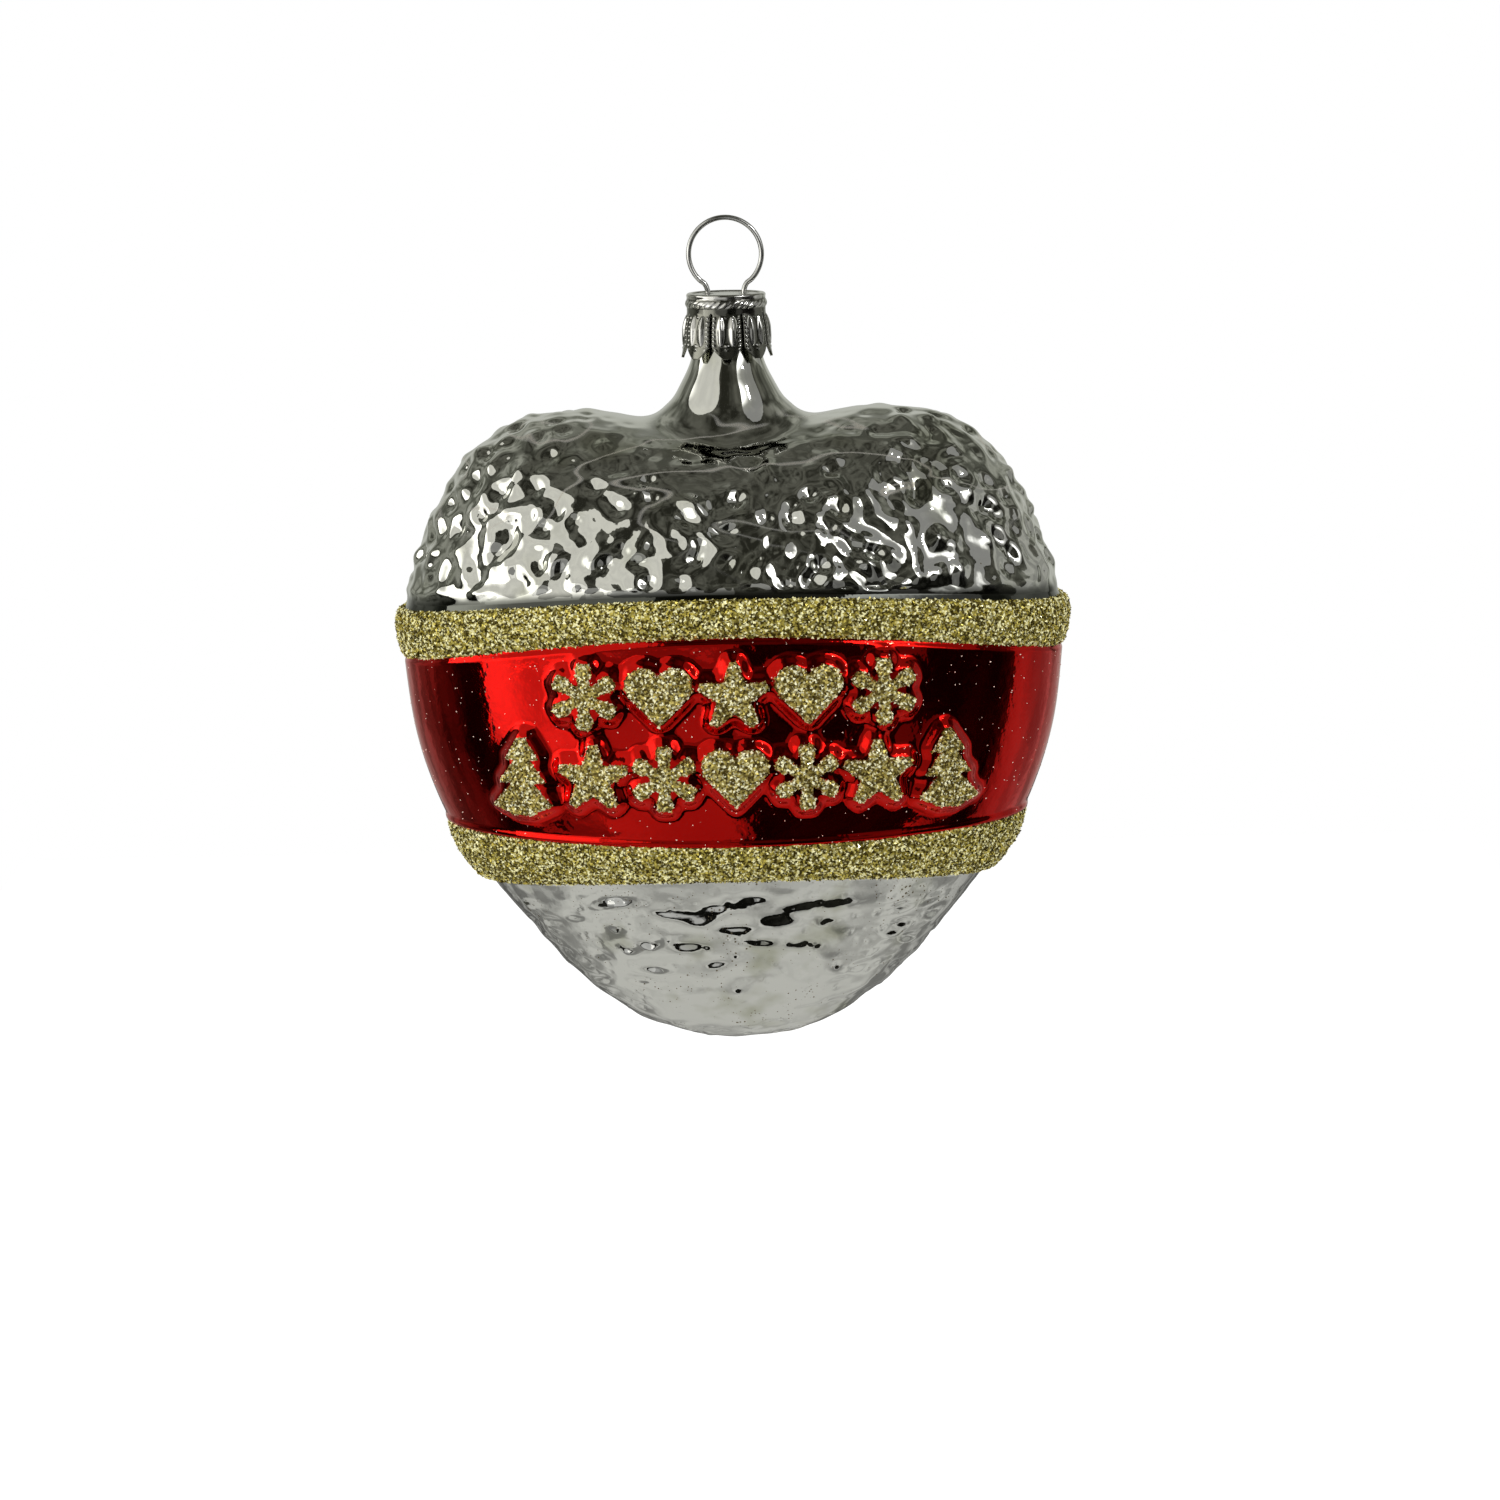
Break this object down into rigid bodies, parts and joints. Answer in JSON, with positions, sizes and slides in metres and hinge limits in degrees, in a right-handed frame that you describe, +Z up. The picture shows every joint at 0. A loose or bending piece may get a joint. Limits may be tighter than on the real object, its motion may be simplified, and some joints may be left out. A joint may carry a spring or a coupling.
{
  "type": "glass heart ornament",
  "caption": "Hollow blown glass heart tree ornament with raised glitter bands and figures, a pressed metal neck cap and a wire ring hanger.",
  "frame": {"origin": "where a hook bears: the inside top of the wire ring, on its middle plane", "axes": "+Z up along the neck, +X to the right seen from the front, -Y towards the front with the glitter figures"},
  "size_m": [0.0798, 0.0502, 0.0977],
  "materials": {
    "silvered_glass": "clear glass silvered inside, hammered above and below the bands, smooth at the neck",
    "red_lacquer": "glossy clear red lacquer over the silvering",
    "gold_glitter": "loose gold glitter bedded in glue",
    "cap_metal": "bright silver, pressed with flutes and beads",
    "hanger_wire": "drawn spring wire"
  },
  "bodies": {
    "hanger": {"wire_hanger": "hanger_wire"},
    "cap": {"metal_cap": "cap_metal"},
    "glass": {"glass_heart": "silvered_glass", "red_band": "red_lacquer", "upper_glitter_band": "gold_glitter", "lower_glitter_band": "gold_glitter", "upper_snowflake_left": "gold_glitter", "upper_heart_left": "gold_glitter", "upper_star": "gold_glitter", "upper_heart_right": "gold_glitter", "upper_snowflake_right": "gold_glitter", "fir_tree_left": "gold_glitter", "lower_star_left": "gold_glitter", "lower_snowflake_left": "gold_glitter", "lower_heart": "gold_glitter", "lower_snowflake_right": "gold_glitter", "lower_star_right": "gold_glitter", "fir_tree_right": "gold_glitter"}
  },
  "joints": [
    {"name": "ring_rock", "type": "hinge", "parent": "hanger", "child": "cap", "pos_m": [0, 0, -0.0087], "axis": [1, 0, 0], "range_deg": [-5, 5]},
    {"name": "neck_pull", "type": "slide", "parent": "cap", "child": "glass", "axis": [0, 0, -1], "range_m": [0, 0.016]}
  ]
}
